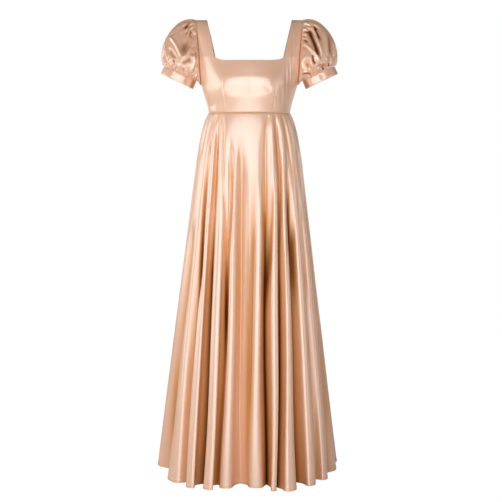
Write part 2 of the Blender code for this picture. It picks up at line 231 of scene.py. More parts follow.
@dataclass
class Shell:
    """A piece of cloth as a lattice of points on its outer face, which becomes a thin closed wall.

    The first axis of points is the second direction of the cloth, from top to bottom.
    """

    points: np.ndarray
    outward: int
    closed: bool = False
    used: np.ndarray | None = None
    thickness: float = 0.0009
    # How much shade is painted into the colour along rolled-in edges.
    edge_shade: float = 0.30
    # The shade painted into the colour at each point.
    hollow: np.ndarray = field(init=False)

    def __post_init__(self) -> None:
        """Starts with no painted shade."""
        self.hollow = np.zeros(self.points.shape[:2])

    def shade(self, hollow: np.ndarray) -> None:
        """Paints at least this much shade into the cloth's colour, from 0 on open cloth to 1 deep in a fold."""
        self.hollow = np.maximum(self.hollow, np.clip(hollow, 0, 1))

    def cells(self) -> tuple[np.ndarray, np.ndarray]:
        """The lattice's cells that are cloth.

        Returns:
            The corners of each cell as point numbers turning outwards, and its row and column.
        """
        rows, columns = self.points.shape[:2]
        across = columns if self.closed else columns - 1
        row, column = np.meshgrid(np.arange(rows - 1), np.arange(across), indexing="ij")
        if self.used is not None:
            row, column = row[self.used], column[self.used]
        row, column = row.ravel(), column.ravel()
        after = (column + 1) % columns
        corners = np.stack([row * columns + column, row * columns + after,
                            (row + 1) * columns + after, (row + 1) * columns + column], axis=1)
        return corners[:, :: self.outward], np.stack([row, column], axis=1)

    def normals(self) -> np.ndarray:
        """The outward unit normals of the lattice.

        Returns:
            The normal at each point.
        """
        flat = self.points.reshape(-1, 3)
        corners, _ = self.cells()
        facing = np.cross(flat[corners[:, 2]] - flat[corners[:, 0]], flat[corners[:, 3]] - flat[corners[:, 1]])
        total = np.zeros_like(flat)
        for corner in range(4):
            np.add.at(total, corners[:, corner], facing)
        length = np.linalg.norm(total, axis=1, keepdims=True)
        return (total / np.maximum(length, 1e-12)).reshape(self.points.shape)

    def move_out(self, distance: np.ndarray) -> None:
        """Moves each point out along its normal by a distance, which is negative to move it in."""
        self.points = self.points + self.normals() * distance[..., None]

    def from_edge(self, axis: int, last: bool) -> np.ndarray:
        """How far each point is from one edge of the lattice along the cloth.

        Args:
            axis: 0 for the top and bottom edges, 1 for the side edges.
            last: whether it is the bottom or right edge.

        Returns:
            The distance at each point.
        """
        steps = np.linalg.norm(np.diff(self.points, axis=axis), axis=-1)
        shape = list(self.points.shape[:2])
        shape[axis] = 1
        gone = np.concatenate([np.zeros(shape), np.cumsum(steps, axis=axis)], axis=axis)
        return np.take(gone, [-1], axis=axis) - gone if last else gone

    def roll_in(self, axis: int, last: bool, depth: float = 0.0011, width: float = 0.0022) -> None:
        """Rolls one edge in, as cloth turns into its seam, and paints shade into the colour along it.

        Args:
            axis: 0 for the top and bottom edges, 1 for the side edges.
            last: whether it is the bottom or right edge.
            depth: how far in the very edge goes.
            width: how far from the edge the roll reaches.
        """
        roll = np.exp(-((self.from_edge(axis, last) / width) ** 2))
        self.move_out(-depth * roll)
        self.shade(self.edge_shade * roll)

    def hollows(self, reach: int, scale: float) -> np.ndarray:
        """How deep in a valley the cloth lies at each point, set against its neighbours across.

        Args:
            reach: how many columns to each side are looked at.
            scale: the depth that counts as the deepest.

        Returns:
            0 on open cloth to 1 deep in a valley.
        """
        mode = "wrap" if self.closed else "edge"
        padded = np.pad(self.points, ((0, 0), (reach, reach), (0, 0)), mode=mode)
        total = np.cumsum(padded, axis=1)
        total = np.concatenate([np.zeros_like(total[:, :1]), total], axis=1)
        window = 2 * reach + 1
        mean = (total[:, window:] - total[:, :-window]) / window
        depth = np.sum((mean - self.points) * self.normals(), axis=-1)
        return np.clip(depth / scale, 0.0, 1.0)

    def area(self) -> float:
        """The area of the outer face.

        Returns:
            The area in square metres.
        """
        flat = self.points.reshape(-1, 3)
        corners, _ = self.cells()
        cross = np.cross(flat[corners[:, 2]] - flat[corners[:, 0]], flat[corners[:, 3]] - flat[corners[:, 1]])
        return float(np.linalg.norm(cross, axis=1).sum() / 2)

    def flat_map(self) -> np.ndarray:
        """Lays the cloth flat.

        Returns:
            Where each point lies on the cut cloth, in metres, with one more column if the cloth closes.
        """
        points = np.concatenate([self.points, self.points[:, :1]], axis=1) if self.closed else self.points
        down = np.linalg.norm(np.diff(points, axis=0), axis=-1)
        across = np.linalg.norm(np.diff(points, axis=1), axis=-1)
        along = np.concatenate([np.zeros((1, points.shape[1])), np.cumsum(down, axis=0)])
        wide = np.concatenate([np.zeros((points.shape[0], 1)), np.cumsum(across, axis=1)], axis=1)
        return np.stack([wide - wide[:, -1:] / 2, -along], axis=-1)

    def build(self, name: str, material: bpy.types.Material) -> bpy.types.Object:
        """Makes the closed wall.

        Args:
            name: the piece's name.
            material: its cloth.

        Returns:
            The new object.
        """
        count = self.points.shape[0] * self.points.shape[1]
        outer = self.points.reshape(-1, 3)
        inner = (self.points - self.normals() * self.thickness).reshape(-1, 3)
        corners, cell = self.cells()
        ahead = np.concatenate([corners[:, [i, (i + 1) % 4]] for i in range(4)])
        keys = ahead[:, 0] * count + ahead[:, 1]
        rim = ahead[~np.isin(keys, ahead[:, 1] * count + ahead[:, 0])]
        rims = np.stack([rim[:, 1], rim[:, 0], rim[:, 0] + count, rim[:, 1] + count], axis=1)
        faces = np.concatenate([corners, corners[:, ::-1] + count, rims])

        flat = self.flat_map()
        row, column = cell[:, 0], cell[:, 1]
        places = np.stack([flat[row, column], flat[row, column + 1], flat[row + 1, column + 1], flat[row + 1, column]],
                          axis=1)[:, :: self.outward]
        by_point = flat[:, : self.points.shape[1]].reshape(-1, 2)
        spread = np.concatenate([places, places[:, ::-1], by_point[rims % count]]).reshape(-1, 2)

        kept, numbers = np.unique(faces, return_inverse=True)
        mesh = bpy.data.meshes.new(name)
        mesh.from_pydata(np.concatenate([outer, inner])[kept].tolist(), [], numbers.reshape(faces.shape).tolist())
        mesh.uv_layers.new(name="cut").data.foreach_set("uv", spread.astype(np.float32).ravel())
        self.mark(mesh, "reverse", (kept >= count).astype(np.float32))
        # The painted shade is kept on each point for the material's colour.
        self.mark(mesh, "hollow", np.tile(self.hollow.ravel(), 2)[kept])
        mesh.shade_smooth()
        mesh.set_sharp_from_angle(angle=math.radians(65))
        mesh.materials.append(material)
        log.info("%s: %d faces, outer area %.4f m2", name, len(faces), self.area())
        return stand(name, mesh)

    def line_above(self, distance: float) -> np.ndarray:
        """The line on the cloth at a distance above its lower edge.

        Args:
            distance: how far above, measured along the cloth.

        Returns:
            One point for each column.
        """
        gone = self.from_edge(0, True)[::-1]
        points = self.points[::-1]
        columns = range(gone.shape[1])
        return np.array([[np.interp(distance, gone[:, i], points[:, i, axis]) for axis in range(3)] for i in columns])

    @staticmethod
    def mark(mesh: bpy.types.Mesh, name: str, values: np.ndarray) -> None:
        """Keeps one number for each point of a mesh, for its material."""
        mesh.attributes.new(name, "FLOAT", "POINT").data.foreach_set("value", values.astype(np.float32))


# Trees of nodes and the finishes.


class Signal:
    """One output of a shader node, with arithmetic that adds its Math nodes."""

    def __init__(self, graph: "Graph", socket: bpy.types.NodeSocket) -> None:
        """Wraps a socket of a graph."""
        self.graph = graph
        self.socket = socket

    def _math(self, operation: str, *values: "Signal | float") -> "Signal":
        """The result of one Math node on these values."""
        return self.graph.node("ShaderNodeMath", {"operation": operation}, dict(enumerate(values)))

    def __add__(self, other: "Signal | float") -> "Signal":
        """This plus other."""
        return self._math("ADD", self, other)

    def __radd__(self, other: "Signal | float") -> "Signal":
        """Other plus this."""
        return self._math("ADD", other, self)

    def __sub__(self, other: "Signal | float") -> "Signal":
        """This less other."""
        return self._math("SUBTRACT", self, other)

    def __rsub__(self, other: "Signal | float") -> "Signal":
        """Other less this."""
        return self._math("SUBTRACT", other, self)

    def __mul__(self, other: "Signal | float") -> "Signal":
        """This times other."""
        return self._math("MULTIPLY", self, other)

    def __rmul__(self, other: "Signal | float") -> "Signal":
        """Other times this."""
        return self._math("MULTIPLY", other, self)


class Graph:
    """A tree of nodes."""

    def __init__(self, tree: bpy.types.NodeTree) -> None:
        """Starts from a tree, which it empties."""
        self.tree = tree
        self.tree.nodes.clear()

    def node(self, kind: str, settings: dict | None = None, values: dict | None = None,
             output: int | str = 0) -> Signal:
        """Adds one node.

        Args:
            kind: the node's type.
            settings: the node's own properties, set first.
            values: the values or signals of its inputs, by name or number.
            output: the name or number of the output that is wanted.

        Returns:
            That output.
        """
        made = self.tree.nodes.new(kind)
        for key, value in (settings or {}).items():
            setattr(made, key, value)
        for key, value in (values or {}).items():
            socket = made.inputs[key]
            if isinstance(value, Signal):
                self.tree.links.new(value.socket, socket)
            else:
                socket.default_value = value
        return Signal(self, made.outputs[output] if made.outputs else made.inputs[0])

    def mix(self, low: "Signal | tuple", high: "Signal | tuple", share: Signal) -> Signal:
        """A colour between two others.

        Args:
            low: the colour at share 0.
            high: the colour at share 1.
            share: the signal that mixes them.

        Returns:
            The mixed colour.
        """
        return self.node("ShaderNodeMix", {"data_type": "RGBA", "clamp_factor": True},
                         {0: share, 6: low, 7: high}, output=2)


class Finish(Graph):
    """The shader tree of one material."""

    def __init__(self, name: str) -> None:
        """Makes a new material with an empty tree.

        Args:
            name: the material's name.
        """
        self.material = bpy.data.materials.new(name)
        self.material.use_nodes = True
        super().__init__(self.material.node_tree)

    def finish(self, shader: Signal) -> bpy.types.Material:
        """Ends the tree with a shader and gives its material."""
        self.node("ShaderNodeOutputMaterial", {}, {"Surface": shader})
        return self.material


@dataclass(frozen=True)
class Satin:
    """Champagne satin: smooth and lustrous outside, dull on its reverse, with shade painted into its colour where
    folds close.
    """

    colour: tuple[float, float, float, float] = (0.84, 0.49, 0.325, 1.0)
    pale: tuple[float, float, float, float] = (0.88, 0.54, 0.37, 1.0)
    # The colours of the painted shade: shaded in a fold's valley, deep in its darkest slot.
    shaded: tuple[float, float, float, float] = (0.72, 0.32, 0.11, 1.0)
    deep: tuple[float, float, float, float] = (0.11, 0.022, 0.004, 1.0)
    dull: tuple[float, float, float, float] = (0.60, 0.36, 0.25, 1.0)
    roughness: float = 0.50
    specular: float = 0.0
    lustre_refraction: float = 2.9
    lustre_roughness: float = 0.32
    lustre_fade: float = 1.3
    reverse_roughness: float = 0.25
    slub_roughness: float = 0.05
    warp_across: float = 700.0
    warp_along: float = 9.0
    cloud_scale: float = 7.0
    mottling: float = 0.25
    shading: float = 2.2
    slub_bump: float = 0.06
    slub_height: float = 0.0002
    weave_direction: float = 0.3

    def make(self, name: str) -> bpy.types.Material:
        """Makes the material.

        Args:
            name: its name.

        Returns:
            The material.
        """
        graph = Finish(name)
        cut = graph.node("ShaderNodeUVMap", {"uv_map": "cut"})
        threads = graph.node("ShaderNodeMapping", {}, {"Vector": cut, "Scale": (self.warp_across, self.warp_along, 1)})
        slubs = graph.node("ShaderNodeTexNoise", {}, {"Vector": threads, "Scale": 1.0, "Detail": 2.0})
        clouds = graph.node("ShaderNodeTexNoise", {}, {"Vector": cut, "Scale": self.cloud_scale, "Detail": 2.0})
        hollow = graph.node("ShaderNodeAttribute", {"attribute_name": "hollow"}, output="Fac")
        reverse = graph.node("ShaderNodeAttribute", {"attribute_name": "reverse"}, output="Fac")
        colour = graph.mix(self.colour, self.pale, self.mottling * slubs + self.mottling * clouds)
        # Shade is painted into the colour where the cloth lies in a valley, orange first and near black in the deepest
        # slots.
        colour = graph.mix(colour, self.shaded, self.shading * hollow)
        colour = graph.mix(colour, self.deep, self.shading * hollow - 1.0)
        colour = graph.mix(colour, self.dull, reverse)
        bump = graph.node("ShaderNodeBump", {},
                          {"Strength": self.slub_bump, "Distance": self.slub_height, "Height": slubs})
        shader = graph.node("ShaderNodeBsdfPrincipled", {}, {
            "Base Color": colour,
            "Roughness": self.roughness + self.slub_roughness * slubs + self.reverse_roughness * reverse,
            "Normal": bump,
            "Specular IOR Level": self.specular,
            # The gloss also fades where shade is painted.
            "Coat Weight": (1.0 - reverse) * (1.0 - self.lustre_fade * hollow),
            "Coat IOR": self.lustre_refraction,
            "Coat Roughness": self.lustre_roughness,
            "Anisotropic": self.weave_direction,
        })
        return graph.finish(shader)


@dataclass(frozen=True)
class Thread:
    """Spun polyester sewing thread, a shade deeper than the satin."""

    colour: tuple[float, float, float, float] = (0.66, 0.43, 0.30, 1.0)
    light: tuple[float, float, float, float] = (0.76, 0.53, 0.39, 1.0)
    roughness: float = 0.55
    twist: float = 900.0

    def make(self, name: str) -> bpy.types.Material:
        """Makes the material.

        Args:
            name: its name.

        Returns:
            The material.
        """
        graph = Finish(name)
        place = graph.node("ShaderNodeTexCoord", output="Object")
        fibres = graph.node("ShaderNodeTexNoise", {}, {"Vector": place, "Scale": self.twist, "Detail": 1.0})
        shader = graph.node("ShaderNodeBsdfPrincipled", {}, {
            "Base Color": graph.mix(self.colour, self.light, fibres),
            "Roughness": self.roughness,
        })
        return graph.finish(shader)


class Recipe(Graph):
    """A Geometry Nodes tree with named inputs."""

    def __init__(self, name: str, sizes: dict[str, float]) -> None:
        """Makes an empty tree.

        Args:
            name: its name.
            sizes: the names and values of its inputs.
        """
        super().__init__(bpy.data.node_groups.new(name, "GeometryNodeTree"))
        socket = self.tree.interface.new_socket
        socket(name="Geometry", in_out="INPUT", socket_type="NodeSocketGeometry")
        socket(name="Geometry", in_out="OUTPUT", socket_type="NodeSocketGeometry")
        self.sizes = sizes
        self.keys = {key: socket(name=key, in_out="INPUT", socket_type="NodeSocketFloat").identifier for key in sizes}
        self.entry = self.tree.nodes.new("NodeGroupInput")

    def given(self, name: str) -> Signal:
        """The input of this name."""
        return Signal(self, self.entry.outputs[name])

    def apply(self, mesh: bpy.types.Mesh, name: str) -> bpy.types.Object:
        """Runs the tree on a mesh and keeps the result as a plain mesh.

        Args:
            mesh: the mesh that it starts from.
            name: the result's name.

        Returns:
            The new object, with no modifier.
        """
        source = stand(name + "_line", mesh)
        modifier = source.modifiers.new(name, "NODES")
        modifier.node_group = self.tree
        for key, identifier in self.keys.items():
            modifier[identifier] = self.sizes[key]
        made = bpy.data.meshes.new_from_object(source.evaluated_get(bpy.context.evaluated_depsgraph_get()))
        made.name = name
        bpy.data.objects.remove(source)
        return stand(name, made)


@dataclass(frozen=True)
class Stitching:
    """A row of machine stitches along a line on the cloth."""

    pitch: float = 0.0032
    length: float = 0.0025
    thickness: float = 0.00040
    unevenness: float = 0.10
    seed: int = 7

    def sew(self, name: str, line: np.ndarray, closed: bool, thread: bpy.types.Material) -> bpy.types.Object:
        """Sews one row.

        Args:
            name: the row's name.
            line: the points that it follows.
            closed: whether it runs round to its start.
            thread: its thread.

        Returns:
            The stitches, as one mesh.
        """
        recipe = Recipe(name + "_recipe", {"Pitch": self.pitch, "Length": self.length, "Thickness": self.thickness,
                                           "Unevenness": self.unevenness})
        row = recipe.node("GeometryNodeMeshToCurve", {}, {"Mesh": recipe.given("Geometry")})
        places = recipe.node("GeometryNodeCurveToPoints", {"mode": "LENGTH"},
                             {"Curve": row, "Length": recipe.given("Pitch")}, output="Points")
        along = Signal(recipe, places.socket.node.outputs["Tangent"])
        turn = recipe.node("FunctionNodeAlignRotationToVector", {"axis": "X"}, {"Vector": along})
        uneven = recipe.given("Unevenness")
        change = recipe.node("FunctionNodeRandomValue", {"data_type": "FLOAT"},
                             {2: 1.0 - uneven, 3: 1.0 + uneven, "Seed": self.seed}, output=1)
        thick = recipe.given("Thickness") * 0.5
        size = recipe.node("ShaderNodeCombineXYZ", {}, {0: recipe.given("Length") * 0.5 * change, 1: thick, 2: thick})
        stitch = recipe.node("GeometryNodeMeshIcoSphere", {}, {"Radius": 1.0, "Subdivisions": 1})
        placed = recipe.node("GeometryNodeInstanceOnPoints", {},
                             {"Points": places, "Instance": stitch, "Rotation": turn, "Scale": size})
        real = recipe.node("GeometryNodeRealizeInstances", {}, {"Geometry": placed})
        dressed = recipe.node("GeometryNodeSetMaterial", {}, {"Geometry": real, "Material": thread})
        recipe.node("NodeGroupOutput", {}, {"Geometry": dressed})
        ahead = [(i, i + 1) for i in range(len(line) - 1)] + ([(len(line) - 1, 0)] if closed else [])
        mesh = bpy.data.meshes.new(name + "_line")
        mesh.from_pydata(line.tolist(), ahead, [])
        piece = recipe.apply(mesh, name)
        log.info("%s: %d faces", name, len(piece.data.polygons))
        return piece


# The bodice.


class Section(NamedTuple):
    """A ring of the bodice: its height, its half widths at front and back, and its depths at front and back."""

    height: float
    front_side: float
    back_side: float
    front: float
    back: float


@dataclass
class Bodice:
    """The bodice front with its strap fronts and darts, and the two bodice backs."""

    seam: float = -0.287
    underarm: float = -0.201
    neck_corner: float = -0.116
    neck_front: float = -0.127
    shoulder_forward: float = -0.005
    strap_in_top: float = 0.132
    strap_out_top: float = 0.165
    strap_in_low: float = 0.107
    strap_out_low: float = 0.1555
    strap_lean_front: float = 0.38
    strap_lean_back: float = 0.16
    strap_rise: float = 0.055
    strap_turn: float = 0.050
    armhole_depth: float = 0.045
    dart_at_seam: float = 0.070
    bust_fullness: float = 0.013
    bust_side: float = 0.078
    bust_height: float = -0.210
    bust_wide: float = 0.050
    bust_tall: float = 0.048
    corner_sharpness: float = 8
    armhole_roll: float = 0.0006
    seam_roll: float = 0.0009
    # How the shade painted into the colour of the bodice's valleys is measured.
    hollow_reach: int = 6
    hollow_depth: float = 0.006
    seam_gap: float = 0.00005
    sections: tuple[Section, ...] = (
        Section(-0.287, 0.1277, 0.1277, 0.105, 0.100),
        Section(-0.262, 0.1325, 0.1325, 0.112, 0.100),
        Section(-0.232, 0.1415, 0.1415, 0.120, 0.102),
        Section(-0.201, 0.1505, 0.1505, 0.123, 0.104),
        Section(-0.160, 0.1626, 0.1640, 0.116, 0.103),
        Section(-0.116, 0.1741, 0.1755, 0.100, 0.097),
    )
    darts: tuple[Crease, ...] = (
        Crease((-70, -288), (-78, -232), (-86, -174), 1.9, -1.0, 0.25),
        Crease((70, -288), (78, -232), (86, -174), 1.9, -0.9, 0.25),
    )
    front_creases: tuple[Crease, ...] = (
        Crease((-80, -176), (0, -181), (80, -176), 13, 1.6, 0.4),
        Crease((-84, -206), (-60, -217), (-26, -214), 13, -3.0, 0.4),
        Crease((34, -208), (56, -214), (70, -224), 9, -2.2, 0.4),
        Crease((-126, -288), (-114, -262), (-110, -232), 9, -2.6, 0.5),
        Crease((-112, -180), (-105, -205), (-98, -250), 8, -1.2, 0.5),
        Crease((110, -90), (113, -180), (111, -270), 4, -1.3, 0.4),
        Crease((121, -105), (124, -190), (119, -284), 3.5, -1.5, 0.4),
        Crease((134, -45), (133, -95), (132, -150), 4, -1.4, 0.4),
        Crease((131, -140), (134, -200), (126, -262), 3.5, -1.2, 0.4),
        Crease((92, -190), (98, -230), (96, -270), 6, -1.3, 0.5),
        Crease((-150, -130), (-141, -160), (-134, -205), 5, -1.4, 0.5),
    )
    back_creases: tuple[Crease, ...] = (
        Crease((-92, -230), (-60, -240), (-22, -236), 12, -2.0, 0.4),
        Crease((24, -232), (58, -243), (88, -238), 11, -2.2, 0.4),
        Crease((-128, -180), (-121, -225), (-117, -280), 5, -1.4, 0.5),
        Crease((130, -170), (122, -215), (120, -270), 5, -1.3, 0.5),
        Crease((-76, -150), (-60, -180), (-52, -215), 9, -1.4, 0.5),
        Crease((70, -160), (62, -190), (48, -220), 9, -1.2, 0.5),
    )

    def section(self, height: np.ndarray) -> np.ndarray:
        """The bodice's ring at each height, on a smooth curve through the sections.

        Args:
            height: the heights.

        Returns:
            The half widths and depths, in the order of Section without its height.
        """
        table = np.array(self.sections)
        index = np.clip(np.searchsorted(table[:, 0], height, side="left") - 1, 0, len(table) - 2)
        low, high = table[index], table[index + 1]
        before, after = table[np.maximum(index - 1, 0)], table[np.minimum(index + 2, len(table) - 1)]
        span = (high[..., 0] - low[..., 0])[..., None]
        share = np.minimum(1.0, (height - low[..., 0]) / span[..., 0])[..., None]
        leave = (high - before)[..., 1:] / (high - before)[..., :1] * span
        arrive = (after - low)[..., 1:] / (after - low)[..., :1] * span
        bend = share * (1 - share) * ((1 - share) * leave - share * arrive)
        return blend(low[..., 1:], high[..., 1:], smooth(share)) + bend

    def strap_inner_edge(self, height: np.ndarray) -> np.ndarray:
        """How far out the line of the dart, the neck's side and the strap's inner edge lies.

        Args:
            height: the heights.

        Returns:
            Its distance from the centre at each height.
        """
        below = blend(self.dart_at_seam, self.strap_in_low, (height - self.seam) / (self.neck_corner - self.seam))
        above = blend(self.strap_in_low, self.strap_in_top, 1 - height / self.neck_corner)
        return np.where(height > self.neck_corner, above, below)

    def ring(self, column: np.ndarray, height: np.ndarray, edge_depth: np.ndarray,
             facing: Facing) -> tuple[np.ndarray, np.ndarray]:
        """Points of the bodice below the straps.

        Args:
            column: -2 at one side through 0 at the centre to 2 at the other, with -1 and 1 on the dart lines.
            height: the height of each point.
            edge_depth: the depth at which the ring ends, 0 at the side seam and more at the armhole.
            facing: front or back.

        Returns:
            How far out and how far forward each point lies.
        """
        front_side, back_side, front, back = np.moveaxis(self.section(height), -1, 0)
        is_front = facing is Facing.FRONT
        depth = front if is_front else back
        half_width = front_side if is_front else back_side
        last = np.arccos(edge_depth / depth)
        dart = np.arcsin(self.strap_inner_edge(height) / half_width)
        across = np.abs(column)
        angle = np.where(across <= 1, across * dart, blend(dart, last, across - 1))
        x = np.copysign(half_width * np.sin(angle), column)
        forward = depth * np.cos(angle)
        if is_front:
            high = np.exp(-(((height - self.bust_height) / self.bust_tall) ** 2))
            wide = np.exp(-(((np.abs(x) - self.bust_side) / self.bust_wide) ** 2))
            forward = forward + self.bust_fullness * high * wide
        return x, forward

    def points(self, column: np.ndarray, level: np.ndarray, facing: Facing) -> np.ndarray:
        """Points of the bodice's outer face.

        Args:
            column: the column of each, as in ring.
            level: 0 at the seam, 1 at the underarm, 2 at the neck's corner and 3 at the shoulder.
            facing: front or back.

        Returns:
            The points.
        """
        column, level = np.broadcast_arrays(column, level)
        body = blend(self.seam + self.seam_gap / 2, self.underarm, np.minimum(level, 1))
        turn = np.radians(90 * np.clip(level - 1, 0, 1))
        chest = self.neck_corner + (self.underarm - self.neck_corner) * np.cos(turn)
        inside = np.clip(1 - np.abs(column) ** self.corner_sharpness, 0, 1)
        chest = chest + (self.neck_front - self.neck_corner) * inside * np.clip(level - 1, 0, 1) ** 2
        height = np.where(level <= 1, body, chest)
        edge = np.where(level <= 1, 0.0, self.armhole_depth * np.sin(turn))
        x, forward = self.ring(column, height, edge, facing)
        straps = level > 2
        if straps.any():
            shoulder = facing.value * self.shoulder_forward
            lean = self.strap_lean_front if facing is Facing.FRONT else self.strap_lean_back
            corner = np.full_like(height[straps], self.neck_corner)
            low_x, low_forward = self.ring(column[straps], corner, np.full_like(corner, self.armhole_depth), facing)
            climb = self.strap_rise / math.hypot(1, lean)
            turn_back = self.strap_turn * (low_forward - shoulder) / -self.neck_corner
            up = level[straps] - 2
            forward[straps] = bezier(low_forward, low_forward - lean * climb, shoulder + turn_back, shoulder, up)
            rises = bezier(self.neck_corner, self.neck_corner + climb, 0.0, 0.0, up)
            part_way = (np.abs(low_x) - self.strap_in_low) / (self.strap_out_low - self.strap_in_low)
            risen = 1 - rises / self.neck_corner
            inner = blend(self.strap_in_low, self.strap_in_top, risen)
            outer = blend(self.strap_out_low, self.strap_out_top, risen)
            x[straps] = np.copysign(blend(inner, outer, part_way), column[straps])
            height = height.copy()
            height[straps] = rises
        return np.stack([x, -facing.value * forward, height], axis=-1)

    def columns(self) -> np.ndarray:
        """The columns from the centre to the side, closest together at the dart and the edges."""
        return stations((0, 0.80, 34), (0.80, 1.02, 56), (1.02, 1.90, 40), (1.90, 1.97, 6), (1.97, 2.0, 5))

    def levels(self) -> np.ndarray:
        """The levels of a panel's rows, closest together at the edges.

        Returns:
            The levels from the shoulder down to the seam.
        """
        below = stations((0, 0.03, 5), (0.03, 0.10, 5), (0.10, 1.0, 28))
        above = stations((1.0, 1.9, 26), (1.9, 2.0, 8), (2.0, 2.1, 5), (2.1, 2.95, 26), (2.95, 3.0, 5))
        return np.concatenate([below, above[1:]])[::-1]

    def panel(self, columns: np.ndarray, facing: Facing, outward: int, aside: float, forward: float,
              creases: tuple[Crease, ...]) -> Shell:
        """The lattice of one panel.

        Args:
            columns: its columns.
            facing: front or back.
            outward: which way its two directions turn.
            aside: how far it is moved in x for its seam gap.
            forward: how far it is moved in y for its seam gap.
            creases: its creases.

        Returns:
            The shell.
        """
        levels = self.levels()
        column, level = np.meshgrid(columns, levels)
        points = self.points(column, level, facing) + np.array([aside, forward, 0.0])
        strap = level[:-1, :-1] > 2.0001
        inside = np.abs((column[:-1, :-1] + column[:-1, 1:]) / 2) < 1
        shell = Shell(points, outward, used=~((level[1:, :-1] >= 2 - 1e-9) & inside & strap))
        shell.used &= ~((level[:-1, :-1] > 2) & inside)
        shell.move_out(lifted(creases, shell.points[..., 0], shell.points[..., 2]))
        return shell

    def make(self, satin: bpy.types.Material) -> dict[str, bpy.types.Object]:
        """Makes the three pieces of the bodice.

        Args:
            satin: their cloth.

        Returns:
            The pieces by name.
        """
        half = self.columns()
        whole = np.concatenate([-half[:0:-1], half])
        gap = self.seam_gap / 2
        made = {}
        front = self.panel(whole, Facing.FRONT, -1, 0.0, -gap, self.darts + self.front_creases)
        left = self.panel(half, Facing.BACK, 1, gap, gap, self.back_creases)
        right = self.panel(-half, Facing.BACK, -1, -gap, gap, self.back_creases)
        for name, shell in (("bodice_front", front), ("bodice_back_left", left), ("bodice_back_right", right)):
            # Shade is painted into the colour along the rolled-in edges and in the valleys.
            for axis, last in ((0, True), (0, False), (1, True), (1, False)):
                shell.roll_in(axis, last, self.armhole_roll if axis == 1 else self.seam_roll)
            shell.shade(shell.hollows(self.hollow_reach, self.hollow_depth))
            made[name] = shell.build("satin_" + name, satin)
        return made


# The skirt.


class Fold(NamedTuple):
    """One crest of the skirt and the valley that follows it towards +X.

    The angles are where they leave the seam and meet the hem, and bow is how far they swing aside half way down.
    Reach is the distance from the gown's middle at the hem. Tuck is how far the cloth tucks in under the crest
    before and after the valley. Start is the share of the length where the fold begins. Pinch is 0 for a wide soft
    valley and 1 for a narrow one that closes.
    """

    crest_top: float
    crest_hem: float
    crest_reach: float
    valley_top: float
    valley_hem: float
    valley_reach: float
    bow: float
    tuck_before: float
    tuck_after: float
    start: float
    # Pinch also sets how much shade is painted into the valley's colour.
    pinch: float


